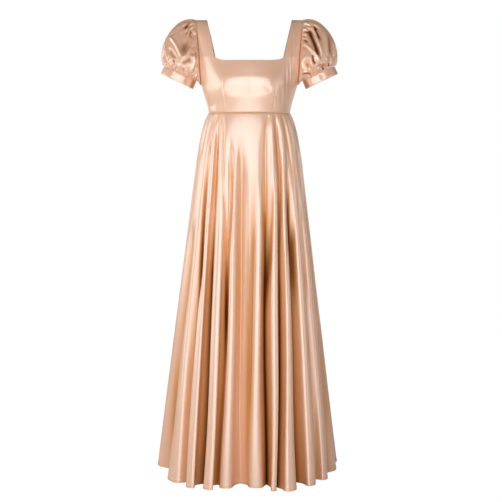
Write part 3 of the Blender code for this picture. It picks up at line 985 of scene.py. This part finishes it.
@dataclass
class Skirt:
    """The skirt front and the two skirt backs."""

    seam: float = -0.287
    hem: float = -1.418
    side_start: float = 0.1477
    side_flare: float = 0.138
    side_spring: float = 0.020
    front_start: float = 0.113
    front_flare: float = 0.187
    front_spring: float = 0.008
    back_start: float = 0.112
    back_flare: float = 0.178
    back_spring: float = 0.012
    spring_length: float = 0.040
    pleat_depth: float = 0.0050
    pleat_length: float = 0.13
    plain_front: float = 22
    fold_growth: float = 0.85
    seam_gap: float = 0.00005
    hem_turned: float = 0.009
    hem_edge: float = 0.0015
    hem_ridge: float = 0.0006
    # Shade is painted into the turned hem's colour, and ridge_light takes painted shade off the creases' ridges.
    hem_shade: float = 0.12
    ridge_light: float = -0.6
    sway: float = 0.7
    per_fold: int = 44
    # These set the shade painted into the colour in the folds' valleys and the creases' troughs.
    full_depth: float = 0.022
    plain_depth: float = 0.006
    hollow_power: float = 1.6
    open_shade: float = 0.15
    crease_shade: float = 0.60
    crease_depth: float = 0.007
    front_folds: tuple[Fold, ...] = (
        Fold(-84, -97.5, 0.298, -70, -78.0, 0.238, 4, 1.0, 1.3, 0.30, 0.5),
        Fold(-60, -51.0, 0.304, -51, -44.2, 0.262, -2.5, 0.7, 1.0, 0.00, 0.7),
        Fold(-47, -37.0, 0.317, -42, -34.0, 0.252, 1, 2.2, 1.3, 0.04, 0.9),
        Fold(-33, -25.0, 0.308, -23, -24.3, 0.242, 2, 2.2, 1.3, 0.06, 0.65),
        Fold(-15, -15.8, 0.276, -8, -8.5, 0.211, 0, 1.4, 1.7, 0.06, 0.1),
        Fold(8, 5.4, 0.262, 21, 13.8, 0.226, -2.2, 0.6, 1.0, 0.04, 1.0),
        Fold(30, 14.4, 0.306, 38, 19.4, 0.262, -1, 0.8, 0.8, 0.00, 1.0),
        Fold(44, 23.6, 0.322, 50, 37.0, 0.236, -2.5, 0.7, 1.2, 0.08, 0.85),
        Fold(55, 39.5, 0.303, 60, 51.5, 0.255, 2, 0.6, 0.7, 0.01, 0.7),
        Fold(67, 56.5, 0.288, 75, 69.0, 0.248, 3, 0.7, 0.7, 0.15, 0.9),
        Fold(83, 83.5, 0.279, 91, 95.0, 0.236, 1, 1.0, 1.0, 0.15, 0.4),
    )
    left_folds: tuple[Fold, ...] = (
        Fold(99, 104.0, 0.294, 106, 111.5, 0.238, 1, 1.1, 1.0, 0.06, 0.5),
        Fold(114, 119.0, 0.302, 121, 127.0, 0.260, -1, 0.9, 1.1, 0.02, 0.9),
        Fold(129, 135.0, 0.312, 136, 143.0, 0.229, 2, 1.2, 0.9, 0.08, 0.4),
        Fold(143, 151.0, 0.296, 150, 158.0, 0.248, -1, 1.0, 1.2, 0.00, 0.7),
        Fold(157, 167.5, 0.300, 180, 180.0, 0.226, 0, 1.1, 1.1, 0.04, 0.6),
    )
    right_folds: tuple[Fold, ...] = (
        Fold(203, 192.0, 0.304, 210, 200.5, 0.250, 1, 1.0, 1.2, 0.00, 0.8),
        Fold(217, 208.5, 0.290, 224, 216.0, 0.228, -2, 1.2, 0.9, 0.07, 0.4),
        Fold(231, 225.0, 0.311, 238, 232.5, 0.256, 1, 0.9, 1.1, 0.03, 0.9),
        Fold(246, 241.5, 0.297, 262, 250.5, 0.240, 0, 1.1, 1.0, 0.10, 0.5),
    )
    front_creases: tuple[Crease, ...] = (
        Crease((-58, -370), (-56, -540), (-66, -720), 7.5, -4.5, 0.35),
        Crease((-81, -300), (-81, -400), (-76, -640), 5.0, -3.6, 0.4),
        Crease((-95, -294), (-102, -430), (-112, -640), 6.0, -3.6, 0.4),
        Crease((-122, -360), (-142, -620), (-154, -960), 5.0, -6.0, 0.40),
        Crease((-31, -340), (-27, -600), (-34, -1300), 13.0, -3.6, 0.4),
        Crease((18, -420), (3, -900), (-7, -1480), 12.0, -9.0, 0.40),
        Crease((62, -294), (50, -345), (46, -520), 6.0, -4.0, 0.35),
        Crease((46, -400), (43, -560), (49, -760), 6.5, -3.0, 0.45),
        Crease((92, -380), (93, -540), (90, -800), 4.0, -3.6, 0.45),
        Crease((-70, -600), (-70, -840), (-75, -1100), 4.5, -3.6, 0.45),
        Crease((118, -400), (117, -620), (118, -900), 5.0, -3.6, 0.45),
        Crease((74, -440), (65, -640), (50, -900), 8.0, -5.0, 0.35),
        Crease((78, -292), (84, -380), (92, -520), 5.0, -4.0, 0.35),
        Crease((100, -294), (118, -370), (140, -540), 5.5, -3.8, 0.35),
        Crease((134, -600), (134, -720), (142, -960), 9.0, -5.0, 0.40),
        Crease((150, -480), (168, -680), (190, -900), 6.0, -3.0, 0.40),
        Crease((-165, -560), (-184, -760), (-205, -1050), 8.0, -3.0, 0.4),
        Crease((-222, -1020), (-238, -1200), (-252, -1400), 9.0, -3.5, 0.4),
        Crease((222, -900), (240, -1120), (256, -1380), 8.0, -3.5, 0.4),
    )
    front_ridges: tuple[Crease, ...] = (
        Crease((-88, -300), (-90, -420), (-92, -680), 4.0, 3.0),
        Crease((-67, -420), (-64, -560), (-68, -700), 4.5, 3.0, 0.4),
        Crease((-44, -440), (-48, -620), (-55, -900), 5.5, 3.0, 0.4),
        Crease((38, -500), (30, -760), (25, -1400), 6.5, 4.0, 0.4),
        Crease((72, -296), (70, -380), (80, -640), 6.0, 3.5, 0.4),
        Crease((102, -400), (104, -560), (104, -760), 5.0, 3.0, 0.4),
        Crease((-12, -480), (-15, -800), (-20, -1400), 7.0, 3.4, 0.4),
        Crease((-104, -330), (-113, -470), (-125, -640), 4.5, 2.4, 0.4),
        Crease((126, -340), (146, -480), (166, -700), 6.0, 2.4, 0.4),
    )

    def edge(self, angle: np.ndarray, share: np.ndarray) -> tuple[np.ndarray, np.ndarray]:
        """The skirt's outer edge before its folds.

        Args:
            angle: the angle round the gown, in radians.
            share: how far down from the seam to the hem.

        Returns:
            How far out and how far forward it lies.
        """
        spring = np.exp(-share / self.spring_length)
        side = self.side_start + self.side_flare * share - self.side_spring * spring
        front = self.front_start + self.front_flare * share - self.front_spring * spring
        back = self.back_start + self.back_flare * share - self.back_spring * spring
        return side * np.sin(angle), np.where(np.cos(angle) > 0, front, back) * np.cos(angle)

    def points(self, place: np.ndarray, share: np.ndarray) -> tuple[np.ndarray, np.ndarray]:
        """Points of the skirt's outer face.

        Args:
            place: counts folds from crest to crest.
            share: how far down from the seam to the hem.

        Returns:
            The points, and the shade painted at each one, deepest in a valley.
        """
        folds = np.array(self.front_folds + self.left_folds + self.right_folds)
        place, share = np.broadcast_arrays(place, share)
        index = np.floor(place).astype(int)
        here = [folds[index % len(folds), i] for i in range(folds.shape[1])]
        after = [folds[(index + 1) % len(folds), i] for i in range(folds.shape[1])]
        now, then = Fold(*here), Fold(*after)
        turns = 360 * (index // len(folds))
        next_turns = 360 * ((index + 1) // len(folds))
        phase = 2 * np.pi * (place - index)
        aside = 4 * share * (1 - share)
        crest_sway = self.sway * share * np.sin(2 * np.pi * (1.3 * share + 0.37 * index))
        next_sway = self.sway * share * np.sin(2 * np.pi * (1.3 * share + 0.37 * (index + 1)))
        valley_sway = self.sway * share * np.sin(2 * np.pi * (1.6 * share + 0.29 * index + 0.4))
        crest = blend(now.crest_top, now.crest_hem, share) + now.bow * aside + turns + crest_sway
        valley = blend(now.valley_top, now.valley_hem, share) + now.bow * aside + turns + valley_sway
        following = blend(then.crest_top, then.crest_hem, share) + then.bow * aside + next_turns + next_sway
        grown = np.maximum(0.0, (share - now.start) / (1 - now.start)) ** self.fold_growth
        before = blend(crest, valley, phase / np.pi) + now.tuck_before * grown * np.sin(2 * phase)
        past = blend(valley, following, phase / np.pi - 1) + now.tuck_after * grown * np.sin(2 * phase)
        angle = np.radians(np.where(phase < np.pi, before, past))
        x, forward = self.edge(angle, share)
        reach = blend(now.crest_reach, then.crest_reach, smooth(phase / (2 * np.pi)))
        swell = 1 + (reach / np.hypot(*self.edge(angle, np.ones_like(share))) - 1) * share
        middle = (now.crest_reach + then.crest_reach) / 2
        pleat = self.pleat_depth * np.sin(np.pi * np.minimum(1.0, share / self.pleat_length))
        pleat = pleat * rise(np.abs(now.valley_top), self.plain_front, self.plain_front + 20)
        depth = (middle - now.valley_reach) * grown + pleat
        trough = blend((1 - np.cos(phase)) / 2, 1 - np.abs(np.cos(phase / 2)), 0.3 + 0.7 * now.pinch)
        scale = swell - depth * trough / np.hypot(x, forward)
        top = self.seam - self.seam_gap / 2
        # Shade is painted into the colour, more where the valley is deep and narrow.
        shade = blend(self.open_shade, 1.0, now.pinch)
        hollow = shade * np.clip((depth - self.plain_depth) / self.full_depth, 0, 1) * trough**self.hollow_power
        return np.stack([x * scale, -forward * scale, blend(top, self.hem, share)], axis=-1), hollow

    def shares(self) -> np.ndarray:
        """The rows from the seam to the hem, closest together at both."""
        return stations((0, 0.003, 4), (0.003, 0.02, 8), (0.02, 0.12, 16), (0.12, 0.989, 56), (0.989, 0.9935, 7),
                        (0.9935, 1.0, 4))

    def make(self, satin: bpy.types.Material, thread: bpy.types.Material,
             stitching: Stitching) -> tuple[dict[str, bpy.types.Object], dict[str, bpy.types.Object]]:
        """Makes the three panels of the skirt and the stitches of their hem.

        Args:
            satin: their cloth.
            thread: their thread.
            stitching: how the hem is sewn.

        Returns:
            The pieces and the rows of stitches by name.
        """
        front, left = len(self.front_folds), len(self.left_folds)
        whole = front + left + len(self.right_folds)
        made, rows = {}, {}
        for name, first, last, aside, back in (
            ("skirt_front", 0, front, 0, -1),
            ("skirt_back_left", front, front + left, 1, 1),
            ("skirt_back_right", front + left, whole, -1, 1),
        ):
            places = np.linspace(first - 0.5, last - 0.5, (last - first) * self.per_fold + 1)
            place, share = np.meshgrid(places, self.shares())
            gap = self.seam_gap / 2
            points, hollow = self.points(place, share)
            shell = Shell(points + np.array([aside * gap, back * gap, 0.0]), -1)
            if name == "skirt_front":
                lift = lifted(self.front_creases + self.front_ridges, points[..., 0], points[..., 2])
                shell.move_out(lift)
                # Troughs of the creases add painted shade, and their ridges take some away.
                hollow = hollow + self.crease_shade * np.clip(-lift / self.crease_depth, self.ridge_light, 1)
            shell.shade(hollow)
            shell.roll_in(0, False)
            turned = 1 - rise(shell.from_edge(0, True), self.hem_turned, self.hem_turned + self.hem_edge)
            shell.move_out(self.hem_ridge * turned)
            # Shade is painted into the colour along the turned hem.
            shell.shade(self.hem_shade * turned)
            made[name] = shell.build("satin_" + name, satin)
            rows[name] = stitching.sew("stitches_" + name, shell.line_above(self.hem_turned), False, thread)
        return made, rows


# The sleeves.

RIGHT_PUFF = (
    Crease((-180, 0), (-192, -16), (-204, -31), 5.0, -5.0),
    Crease((-172, -4), (-187, -19), (-195, -45), 3.0, 3.5),
    Crease((-178, -14), (-190, -32), (-194, -50), 2.6, -4.0),
    Crease((-169, -18), (-185, -32), (-190, -54), 3.0, 4.0),
    Crease((-176, -28), (-183, -44), (-176, -58), 3.4, -4.0),
    Crease((-177, -33), (-170, -40), (-168, -49), 4.0, 4.0),
    Crease((-250, -53), (-239, -46), (-226, -40), 2.8, -2.2, 0.4),
    Crease((-194, -46), (-200, -84), (-207, -118), 13.0, -9.0, 0.5),
    Crease((-249, -50), (-227, -78), (-207, -122), 3.8, 5.0, 0.25),
    Crease((-207, -120), (-192, -108), (-175, -78), 3.8, 4.4, 0.25),
    Crease((-177, -90), (-172, -72), (-166, -58), 4.0, 2.6, 0.4),
    Crease((-250, -86), (-238, -107), (-224, -121), 6.0, -5.0, 0.35),
    Crease((-258, -76), (-255, -113), (-240, -147), 4.2, 5.0),
    Crease((-236, -122), (-234, -134), (-234, -148), 2.8, -5.0),
    Crease((-264, -108), (-262, -122), (-259, -138), 4.5, -3.5),
    Crease((-209, -146), (-190, -131), (-172, -122), 8.0, -6.0),
    Crease((-169, -132), (-177, -152), (-188, -166), 4.0, 3.5),
    Crease((-171, -110), (-168, -132), (-177, -173), 3.0, 3.5),
    Crease((-165, -96), (-164, -110), (-165, -126), 3.0, -4.5),
    Crease((-166, -134), (-170, -152), (-174, -170), 2.8, -3.5),
    Crease((-177, -97), (-175, -106), (-173, -114), 2.8, -2.5, 0.4),
    Crease((-156, -132), (-152, -152), (-152, -174), 4.0, -4.0),
    Crease((-166, -148), (-157, -160), (-152, -176), 3.0, 3.0),
    Crease((-178, -179), (-167, -174), (-158, -167), 2.6, 2.6),
    Crease((-226, -132), (-219, -140), (-214, -152), 2.8, 3.0),
    Crease((-229, -146), (-224, -152), (-221, -158), 2.4, -3.0),
    Crease((-206, -150), (-203, -157), (-203, -164), 2.4, -3.0),
    Crease((-197, -152), (-193, -160), (-191, -169), 2.4, 2.8),
)

LEFT_PUFF = (
    Crease((165, -20), (169, -22), (174, -27), 1.8, -2.6),
    Crease((164, -28), (173, -30), (183, -33), 2.6, 2.6),
    Crease((166, -37), (174, -37), (183, -40), 1.8, -2.8),
    Crease((166, -44), (173, -45), (180, -50), 2.4, 2.4),
    Crease((165, -50), (171, -53), (178, -58), 1.8, -2.6),
    Crease((166, -10), (178, -12), (192, -19), 3.0, 2.6),
    Crease((167, -59), (173, -65), (181, -71), 3.6, -3.6),
    Crease((178, -22), (199, -66), (219, -124), 7.0, -10.0),
    Crease((198, -14), (210, -38), (223, -74), 6.5, -7.0, 0.35),
    Crease((190, -16), (205, -48), (228, -122), 4.6, 4.5),
    Crease((248, -40), (251, -76), (253, -114), 6.5, -5.0),
    Crease((230, -30), (238, -70), (238, -118), 6.5, 3.0, 0.35),
    Crease((240, -112), (234, -130), (216, -133), 4.5, 4.5),
    Crease((162, -68), (193, -97), (221, -134), 5.0, 6.0, 0.25),
    Crease((260, -62), (264, -96), (261, -118), 3.8, 3.0),
    Crease((262, -116), (256, -121), (248, -120), 3.0, 2.6),
    Crease((195, -106), (196, -126), (206, -142), 3.2, -7.0, 0.25),
    Crease((176, -115), (162, -132), (168, -157), 4.0, 3.6),
    Crease((180, -132), (177, -144), (184, -155), 6.5, -4.0, 0.4),
    Crease((190, -108), (190, -134), (203, -163), 3.8, 3.6),
    Crease((184, -152), (189, -162), (198, -171), 3.6, 3.2),
    Crease((162, -176), (177, -169), (195, -177), 4.0, -4.5),
    Crease((160, -164), (170, -162), (182, -166), 2.8, 2.6),
    Crease((207, -142), (224, -144), (242, -138), 6.0, -4.0, 0.4),
    Crease((222, -146), (227, -151), (230, -157), 2.4, -2.8),
    Crease((212, -148), (214, -155), (216, -162), 2.6, 3.0),
    Crease((245, -132), (246, -140), (244, -148), 2.6, -3.0),
    Crease((255, -126), (252, -134), (250, -142), 2.6, 2.6),
)

RIGHT_CUFF = (
    Crease((-169, -186), (-175, -199), (-181, -212), 6.0, -1.9, 0.15),
    Crease((-190, -177), (-195, -188), (-201, -201), 4.5, -0.9, 0.35),
    Crease((-214, -166), (-219, -177), (-225, -190), 6.0, 0.8, 0.35),
    Crease((-240, -153), (-245, -165), (-250, -177), 5.0, -0.7, 0.35),
)

LEFT_CUFF = (
    Crease((169, -186), (175, -199), (181, -212), 6.5, -2.2, 0.15),
    Crease((188, -178), (193, -190), (199, -202), 5.0, 0.9, 0.35),
    Crease((213, -166), (222, -178), (226, -190), 6.0, -1.4, 0.30),
    Crease((244, -152), (248, -164), (254, -175), 6.0, -0.8, 0.35),
)


class Swing(NamedTuple):
    """How far the sleeve's cloth swings out past an edge: outwards, to its side and up."""

    out: float
    forward: float
    up: float


@dataclass
class Sleeve:
    """One puff sleeve and its cuff, on the wearer's left unless mirrored."""

    bodice: Bodice
    side: Side
    cuff_top_out: tuple[float, float] = (0.2655, -0.143)
    cuff_top_in: tuple[float, float] = (0.1650, -0.190)
    cuff_half_depth: float = 0.044
    cuff_depth: float = 0.026
    cuff_flare: float = 0.001
    sleeve_gap: float = 0.0002
    seam_gap: float = 0.00005
    cap_gathers: int = 22
    cuff_gathers: int = 30
    cap_gather_depth: float = 0.0026
    cap_gather_length: float = 0.36
    cuff_gather_depth: float = 0.0046
    cuff_gather_fade: float = 7
    underside_gather: float = 0.15
    cap_top: Swing = Swing(0.075, 0.0, 0.015)
    cap_side: Swing = Swing(0.022, 0.036, 0.010)
    cap_under: Swing = Swing(0.006, 0.0, -0.004)
    puff_top: Swing = Swing(0.030, 0.0, 0.052)
    puff_side: Swing = Swing(0.010, 0.036, 0.040)
    puff_under: Swing = Swing(-0.008, 0.0, 0.001)
    sleeve_columns: int = 384
    cuff_columns: int = 256
    turn_over: tuple[float, float] = (-0.004, 0.006)
    # These set the shade painted into the colour: over the whole sleeve, in its troughs and valleys, less on its
    # ridges, and in the cuff's creases.
    crease_depth: float = 0.006
    ridge_light: float = -0.4
    hollow_reach: int = 6
    hollow_depth: float = 0.0035
    hollow_shade: float = 0.6
    open_shade: float = 0.10
    cuff_crease_depth: float = 0.003
    cuff_shade: float = 0.6
    deepest_shade: dict[Side, float] = field(default_factory=lambda: {Side.LEFT: 0.75, Side.RIGHT: 0.62})
    cuff_stitched: float = 0.003

    def armhole(self, turn: np.ndarray) -> np.ndarray:
        """Points of the armhole.

        Args:
            turn: 0 at the shoulder, 90 in front, 180 under the arm and 270 behind.

        Returns:
            The points.
        """
        turn = turn % 360
        down = np.where(turn <= 180, turn, 360 - turn)
        column = np.full_like(down, 2.0)
        front = self.bodice.points(column, 3 - down / 90, Facing.FRONT)
        back = self.bodice.points(column, 3 - down / 90, Facing.BACK)
        return np.where((turn <= 180)[..., None], front, back)

    def cuff(self, turn: np.ndarray, drop: np.ndarray) -> np.ndarray:
        """Points of the cuff's outer face.

        Args:
            turn: the place round the arm, as in armhole.
            drop: how far down from the cuff's upper edge.

        Returns:
            The points.
        """
        out, inner = np.array(self.cuff_top_out), np.array(self.cuff_top_in)
        middle, half = (out + inner) / 2, np.linalg.norm(out - inner) / 2
        along = (out - middle) / half
        angle = np.radians(turn)
        flare = self.cuff_flare * drop / self.cuff_depth
        wide = (half + flare) * np.cos(angle)
        deep = (self.cuff_half_depth + flare) * np.sin(angle)
        return np.stack([middle[0] + along[0] * wide + along[1] * drop, -deep,
                         middle[1] + along[1] * wide - along[0] * drop], axis=-1)

    def swing(self, turn: np.ndarray, top: Swing, side: Swing, under: Swing) -> np.ndarray:
        """The swing of the cloth at each turn.

        Args:
            turn: the place round the arm, as in armhole.
            top: the swing over the arm.
            side: the swing in front and behind.
            under: the swing under the arm.

        Returns:
            The swing at each turn, mixed from the three.
        """
        angle = np.radians(turn)
        over = np.maximum(np.cos(angle), 0.0) ** 2
        below = np.maximum(-np.cos(angle), 0.0) ** 2
        beside = np.sin(angle) ** 2
        out, forward, up = (over * top[i] + beside * side[i] + below * under[i] for i in range(3))
        return np.stack([out, -forward * np.copysign(1, np.sin(angle)), up], axis=-1)

    def points(self, turn: np.ndarray, share: np.ndarray) -> np.ndarray:
        """Points of the sleeve's outer face.

        Args:
            turn: the place round the arm, as in armhole.
            share: 0 at the armhole to 1 at the cuff.

        Returns:
            The points.
        """
        start = self.armhole(turn) + np.array([self.sleeve_gap, 0.0, 0.0])
        end = self.cuff(turn, np.full_like(turn, -self.seam_gap))
        leave = start + self.swing(turn, self.cap_top, self.cap_side, self.cap_under)
        arrive = end + self.swing(turn, self.puff_top, self.puff_side, self.puff_under)
        points = bezier(start, leave, arrive, end, share[..., None])
        angle = np.radians(turn)
        uneven = 0.10 * np.sin(3 * angle + 0.7) + 0.06 * np.sin(7 * angle + 2.1)
        cap_wave = 1 - 2 * np.abs(np.cos(self.cap_gathers / 2 * (angle + uneven))) ** 3
        cuff_wave = 1 - 2 * np.abs(np.cos(self.cuff_gathers / 2 * (angle - uneven))) ** 3
        strength = 0.75 + 0.25 * np.sin(5 * angle + 1.3)
        cap = self.cap_gather_depth * cap_wave * strength * np.maximum(np.cos(angle), 0.0)
        cap = cap * np.sin(np.pi * np.minimum(1.0, share / self.cap_gather_length))
        outside = blend(self.underside_gather, 1.0, (1 + np.cos(angle)) / 2)
        cuff = self.cuff_gather_depth * cuff_wave * outside * strength * share**self.cuff_gather_fade
        cuff = cuff * (1 - rise(share, 0.97, 1.0))
        return points + np.stack([cuff * np.cos(angle), -(cap + cuff) * np.sin(angle), cap * np.cos(angle)], axis=-1)

    def mirrored(self, points: np.ndarray) -> np.ndarray:
        """The points on this sleeve's own side."""
        return points * np.array([self.side.value, 1, 1])

    def creased(self, points: np.ndarray) -> np.ndarray:
        """How far the creases lift each point: its own in front and, mirrored, the other sleeve's behind.

        Args:
            points: points of the sleeve on its own side.

        Returns:
            The distance at each point.
        """
        x, y, z = np.moveaxis(points, -1, 0)
        own, other = (LEFT_PUFF, RIGHT_PUFF) if self.side is Side.LEFT else (RIGHT_PUFF, LEFT_PUFF)
        lift = np.zeros_like(x)
        for crease in own:
            lift += crease.lift(x, z) * rise(-y, *self.turn_over)
        for crease in other:
            lift += crease.lift(-x, z) * rise(y, *self.turn_over)
        return lift

    def make(self, satin: bpy.types.Material, thread: bpy.types.Material,
             stitching: Stitching) -> tuple[dict[str, bpy.types.Object], dict[str, bpy.types.Object]]:
        """Makes the sleeve, its cuff and the stitches of the cuff.

        Args:
            satin: their cloth.
            thread: their thread.
            stitching: how the cuff is sewn.

        Returns:
            The pieces and the rows of stitches by name.
        """
        word = self.side.name.lower()
        turns = np.linspace(0, 360, self.sleeve_columns, endpoint=False)
        shares = stations((0, 0.03, 5), (0.03, 0.97, 76), (0.97, 1.0, 5))
        turn, share = np.meshgrid(turns, shares)
        sleeve = Shell(self.mirrored(self.points(turn, share)), self.side.value, closed=True)
        lift = self.creased(sleeve.points) * rise(share, 0.0, 0.05) * rise(1 - share, 0.0, 0.04)
        sleeve.move_out(lift)
        # Shade is painted into the colour: a little over the whole sleeve, more in troughs and valleys, less on
        # ridges.
        trough_shade = np.maximum(self.ridge_light, self.deepest_shade[self.side] * (1 - np.exp(lift / self.crease_depth)))
        hollows = sleeve.hollows(self.hollow_reach, self.hollow_depth)
        sleeve.shade(self.open_shade + self.hollow_shade * hollows + trough_shade)
        sleeve.roll_in(0, False, self.bodice.armhole_roll)
        sleeve.roll_in(0, True)
        turns = np.linspace(0, 360, self.cuff_columns, endpoint=False)
        turn, share = np.meshgrid(turns, stations((0, 0.1, 4), (0.1, 0.9, 10), (0.9, 1.0, 4)))
        cuff = Shell(self.mirrored(self.cuff(turn, share * self.cuff_depth)), self.side.value, closed=True)
        creases = LEFT_CUFF if self.side is Side.LEFT else RIGHT_CUFF
        lift = lifted(creases, cuff.points[..., 0], cuff.points[..., 2])
        cuff.move_out(lift)
        # Shade is painted into the colour in the cuff's creases.
        cuff.shade(np.clip(-lift / self.cuff_crease_depth, 0, self.cuff_shade))
        cuff.roll_in(0, False)
        cuff.roll_in(0, True)
        made = {
            "sleeve_" + word: sleeve.build("satin_sleeve_" + word, satin),
            "cuff_" + word: cuff.build("satin_cuff_" + word, satin),
        }
        row = stitching.sew("stitches_cuff_" + word, cuff.line_above(self.cuff_stitched), True, thread)
        return made, {"cuff_" + word: row}


# The studio.


class Lamp(NamedTuple):
    """One large soft light: where its middle is, what it faces, its width and height, and how bright its face is."""

    name: str
    at: tuple[float, float, float]
    facing: tuple[float, float, float]
    size: tuple[float, float]
    radiance: float
    colour: tuple[float, float, float] = (1.0, 1.0, 1.0)

    def make(self) -> None:
        """Hangs the light."""
        made = bpy.data.lights.new(self.name, "AREA")
        made.shape = "RECTANGLE"
        made.size, made.size_y = self.size
        made.energy = self.radiance * math.pi * self.size[0] * self.size[1]
        made.color = self.colour
        placed = stand(self.name, made)
        placed.location = self.at
        placed.rotation_euler = (Vector(self.facing) - Vector(self.at)).to_track_quat("-Z", "Y").to_euler()


@dataclass
class Studio:
    """A pale floor, soft lights and the camera, level with the empire seam and looking slightly down."""

    camera_at: tuple[float, float, float] = (0.005, -4.3, -0.294)
    camera_down: float = 5.694
    lens: float = 97.9
    sensor: float = 36.0
    floor: float = -1.432
    floor_reach: float = 40.0
    floor_glow: float = 1.1
    floor_share: float = 0.9
    surround: float = 0.15
    lamps: tuple[Lamp, ...] = (
        Lamp("front", (-0.30, -2.3, 0.135), (0.0, 0.0, -0.20), (3.0, 1.83), 2.1),
        Lamp("upper", (-0.30, -2.2, 1.20), (0.0, 0.0, -0.15), (2.6, 0.30), 0.3),
        Lamp("low", (-0.30, -2.3, -1.07), (0.0, 0.0, -0.85), (3.0, 0.6), 1.4, (1.0, 0.95, 0.87)),
        Lamp("bounce", (-0.20, -1.75, -1.425), (-0.20, -1.60, 0.0), (3.0, 1.8), 1.6),
        Lamp("left", (-2.9, 0.3, -0.05), (0.0, 0.0, -0.35), (3.6, 1.9), 1.9, (1.0, 0.97, 0.92)),
        Lamp("right", (2.7, -1.2, -0.30), (0.0, 0.0, -0.50), (1.2, 1.8), 1.2),
        Lamp("behind", (0.4, 2.8, -0.30), (0.0, 0.0, -0.45), (6.0, 2.0), 0.9, (1.0, 0.94, 0.86)),
    )

    def make(self) -> None:
        """Makes the camera, the lights, the floor and the surroundings."""
        scene = bpy.context.scene
        scene.view_settings.view_transform = "Standard"
        camera = stand("camera", bpy.data.cameras.new("camera"))
        camera.data.lens = self.lens
        camera.data.sensor_width = self.sensor
        camera.location = self.camera_at
        camera.rotation_euler = (math.radians(90 - self.camera_down), 0.0, 0.0)
        scene.camera = camera
        for lamp in self.lamps:
            lamp.make()
        self.lay_floor()
        self.surround_it(scene)

    def lay_floor(self) -> None:
        """Lays the floor, a wide sheet of white paper that the camera sees fully lit."""
        graph = Finish("paper")
        place = graph.node("ShaderNodeTexCoord", output="Object")
        grain = graph.node("ShaderNodeTexNoise", {}, {"Vector": place, "Scale": 40.0})
        paper = graph.node("ShaderNodeBsdfPrincipled", {}, {
            "Base Color": graph.mix((0.78, 0.78, 0.78, 1), (0.80, 0.80, 0.80, 1), grain),
            "Roughness": 0.9,
        })
        glow = graph.node("ShaderNodeEmission", {}, {"Strength": self.floor_glow})
        seen = graph.node("ShaderNodeLightPath", output="Is Camera Ray") * self.floor_share
        shader = graph.node("ShaderNodeMixShader", {}, {0: seen, 1: paper, 2: glow})
        mesh = bpy.data.meshes.new("floor")
        far = self.floor_reach
        corners = [(-far, -far, self.floor), (far, -far, self.floor), (far, far, self.floor), (-far, far, self.floor)]
        mesh.from_pydata(corners, [], [(0, 1, 2, 3)])
        mesh.materials.append(graph.finish(shader))
        floor = stand("floor", mesh)

    def surround_it(self, scene: bpy.types.Scene) -> None:
        """Makes the surroundings, which the camera sees as white and which light the gown more gently.

        Args:
            scene: the scene they belong to.
        """
        world = bpy.data.worlds.new("studio")
        world.use_nodes = True
        graph = Graph(world.node_tree)
        seen = graph.node("ShaderNodeLightPath", output="Is Camera Ray")
        white = graph.node("ShaderNodeBackground", {}, {"Color": (1, 1, 1, 1)})
        lighting = graph.node("ShaderNodeBackground", {}, {"Color": (1, 0.98, 0.96, 1), "Strength": self.surround})
        mixed = graph.node("ShaderNodeMixShader", {}, {0: seen, 1: lighting, 2: white})
        graph.node("ShaderNodeOutputWorld", {}, {"Surface": mixed})
        scene.world = world


# The cut.


class Cut(NamedTuple):
    """One piece's cut: its width and length before sewing, its area, and how it is held and by what."""

    width: float
    length: float
    area: float
    held: str
    hangs_from: tuple[str, ...]

    def settle(self, piece: bpy.types.Object, node: str, rows: list[bpy.types.Object]) -> None:
        """Hangs a piece of cloth and its stitches from the root and hides the solid that it stands for.

        Args:
            piece: the cloth.
            node: the solid that it stands for.
            rows: the rows of stitches on it.
        """
        for part in [piece] + rows:
            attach(part, "root")
        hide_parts(node)


@dataclass
class Gown:
    """The whole gown."""

    satin: Satin = Satin()
    # The same satin, with browner and less orange painted shade for the sleeves.
    sleeve_satin: Satin = Satin(shaded=(0.60, 0.31, 0.18, 1.0), deep=(0.13, 0.035, 0.014, 1.0))
    thread: Thread = Thread()
    stitching: Stitching = Stitching()
    bodice: Bodice = field(default_factory=Bodice)
    skirt: Skirt = field(default_factory=Skirt)
    cuts: dict[str, Cut] = field(default_factory=lambda: {
        "bodice_front": Cut(0.42, 0.32, 0.0796, "draped", ()),
        "bodice_back_left": Cut(0.21, 0.32, 0.0364, "draped", ("satin_bodice_front",)),
        "bodice_back_right": Cut(0.21, 0.32, 0.0364, "draped", ("satin_bodice_front",)),
        "skirt_front": Cut(1.75, 1.15, 1.132, "hung", ("satin_bodice_front",)),
        "skirt_back_left": Cut(0.79, 1.15, 0.535, "hung", ("satin_bodice_back_left",)),
        "skirt_back_right": Cut(0.63, 1.15, 0.446, "hung", ("satin_bodice_back_right",)),
        "sleeve_left": Cut(0.38, 0.17, 0.0534, "gathered", ("satin_bodice_front",)),
        "sleeve_right": Cut(0.38, 0.17, 0.0534, "gathered", ("satin_bodice_front",)),
        "cuff_left": Cut(0.32, 0.027, 0.0083, "draped", ("satin_sleeve_left",)),
        "cuff_right": Cut(0.32, 0.027, 0.0083, "draped", ("satin_sleeve_right",)),
    })

    def make(self) -> None:
        """Makes every piece of the gown, hangs it from the root and hides the solid that it stands for."""
        cloth = self.satin.make("champagne_satin")
        thread = self.thread.make("sewing_thread")
        made = self.bodice.make(cloth)
        panels, rows = self.skirt.make(cloth, thread, self.stitching)
        made |= panels
        # The sleeves take the copy of the satin with its own painted shade colours.
        cloth = self.sleeve_satin.make("champagne_satin_sleeves")
        for side in Side:
            parts, seams = Sleeve(self.bodice, side).make(cloth, thread, self.stitching)
            made |= parts
            rows |= seams
        for node, piece in made.items():
            self.cuts[node].settle(piece, node, [rows[node]] if node in rows else [])


def main() -> None:
    """Builds the gown and the studio."""
    logging.basicConfig(level=logging.INFO, format="%(name)s: %(message)s")
    Gown().make()
    Studio().make()


if __name__ == "__main__":
    main()
